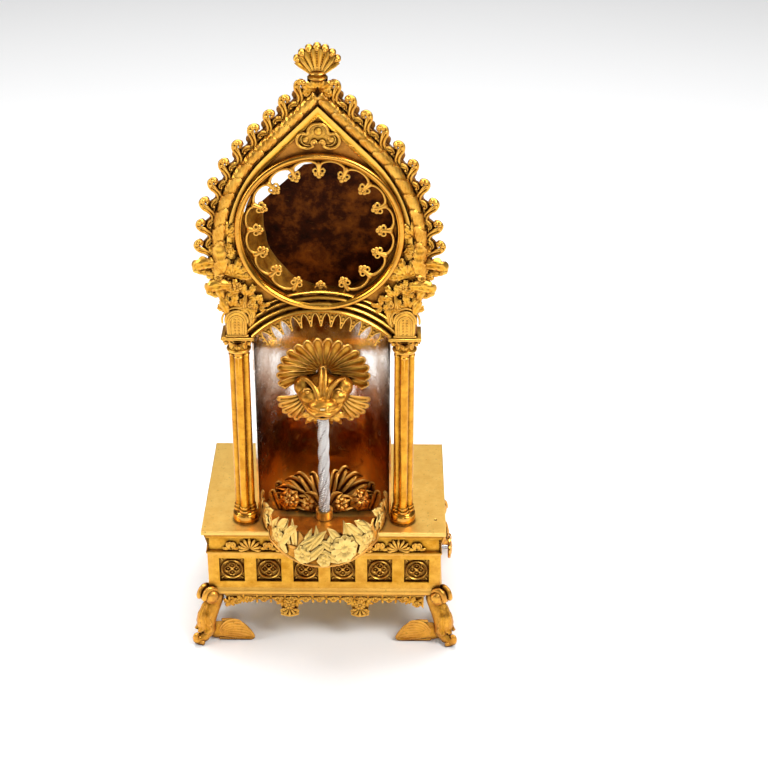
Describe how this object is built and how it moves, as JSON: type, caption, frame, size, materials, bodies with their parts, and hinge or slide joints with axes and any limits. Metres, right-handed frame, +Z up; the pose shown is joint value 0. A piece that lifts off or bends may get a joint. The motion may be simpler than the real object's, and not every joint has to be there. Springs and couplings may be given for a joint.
{
  "type": "watch stand with fountain automaton",
  "caption": "Gilt Gothic watch stand: pointed arch with a tracery ring for a pocket watch over a mirrored niche, where clockwork turns a glass rod like water from a fish mask.",
  "frame": {"origin": "on the ground under the middle of the whole outline", "axes": "+Z up, front towards -Y, +X to the viewer's right when facing the front"},
  "size_m": [0.1166, 0.0934, 0.2717],
  "materials": {
    "polished_gilt": "polished",
    "chased_gilt": "cast and chased",
    "pale_gilt": "matt gilding",
    "dark_gilt": "worn and darkened",
    "mirror": "aged silvering",
    "glass": "clear twisted glass",
    "brass": "satin",
    "steel": "satin"
  },
  "bodies": {
    "stand": {"top_plate": "polished_gilt", "front_wall": "chased_gilt", "rear_wall": "chased_gilt", "left_wall": "chased_gilt", "right_wall": "chased_gilt", "front_apron": "chased_gilt", "rear_apron": "chased_gilt", "left_apron": "chased_gilt", "right_apron": "chased_gilt", "front_left_foot": "chased_gilt", "front_right_foot": "chased_gilt", "rear_left_foot": "chased_gilt", "rear_right_foot": "chased_gilt", "left_drum": "chased_gilt", "right_drum": "chased_gilt", "left_column": "chased_gilt", "right_column": "chased_gilt", "left_capital": "chased_gilt", "right_capital": "chased_gilt", "column_rods": "steel", "column_nuts": "steel", "pointed_arch": "chased_gilt", "finial": "chased_gilt", "bezel_ring": "polished_gilt", "tracery_ring": "chased_gilt", "watch_pan": "dark_gilt", "pan_screws": "steel", "niche_mirror": "mirror", "fish_mask": "chased_gilt", "mask_nut": "steel", "basin_rim": "pale_gilt", "basin_leaves": "dark_gilt", "upper_movement_plate": "brass", "lower_movement_plate": "brass", "movement_pillars": "brass", "pillar_screws": "steel", "mounting_screws": "steel", "click_stud": "steel", "click_spring": "steel", "knob_bush": "brass", "bottom_cover": "brass", "cover_screws": "steel"},
    "barrel": {"mainspring_barrel": "brass", "barrel_cap": "brass", "mainspring": "steel"},
    "winding": {"winding_arbor": "steel", "ratchet_wheel": "steel"},
    "second": {"second_arbor": "steel", "second_wheel": "brass"},
    "third": {"third_arbor": "steel", "third_wheel": "brass"},
    "fountain": {"rod_arbor": "steel", "rod_socket": "brass", "glass_rod": "glass", "rod_cap": "brass"},
    "fly": {"fly_arbor": "steel", "fly_blades": "brass"},
    "stop": {"start_knob": "polished_gilt", "stop_rod": "steel"},
    "pawl": {"click": "steel"}
  },
  "joints": [
    {"name": "barrel_turn", "type": "hinge", "parent": "stand", "child": "barrel", "pos_m": [-0.02397, 0.00659, 0.04], "axis": [0, 0, 1], "continuous": true},
    {"name": "second_turn", "type": "hinge", "parent": "stand", "child": "second", "pos_m": [0, -0.0012, 0.04], "axis": [0, 0, 1], "continuous": true},
    {"name": "third_turn", "type": "hinge", "parent": "stand", "child": "third", "pos_m": [0.018, -0.0012, 0.04], "axis": [0, 0, 1], "continuous": true},
    {"name": "fountain_turn", "type": "hinge", "parent": "stand", "child": "fountain", "pos_m": [0, -0.0192, 0.06], "axis": [0, 0, 1], "continuous": true},
    {"name": "fly_turn", "type": "hinge", "parent": "stand", "child": "fly", "pos_m": [0.0292, -0.01025, 0.04], "axis": [0, 0, 1], "continuous": true},
    {"name": "winding_turn", "type": "hinge", "parent": "stand", "child": "winding", "pos_m": [-0.02397, 0.00659, 0.03], "axis": [0, 0, 1], "continuous": true},
    {"name": "click_swing", "type": "hinge", "parent": "stand", "child": "pawl", "pos_m": [-0.01097, -0.00141, 0.027], "axis": [0, 0, 1], "range_deg": [0, 3.4]},
    {"name": "knob_push", "type": "slide", "parent": "stand", "child": "stop", "axis": [-1, 0, 0], "range_m": [0, 0.0024]}
  ],
  "couplings": [
    {"joint": "third_turn", "follows": "fly_turn", "ratio": -0.33333},
    {"joint": "fountain_turn", "follows": "fly_turn", "ratio": -0.33333},
    {"joint": "second_turn", "follows": "fly_turn", "ratio": 0.083333},
    {"joint": "barrel_turn", "follows": "fly_turn", "ratio": -0.016667}
  ]
}
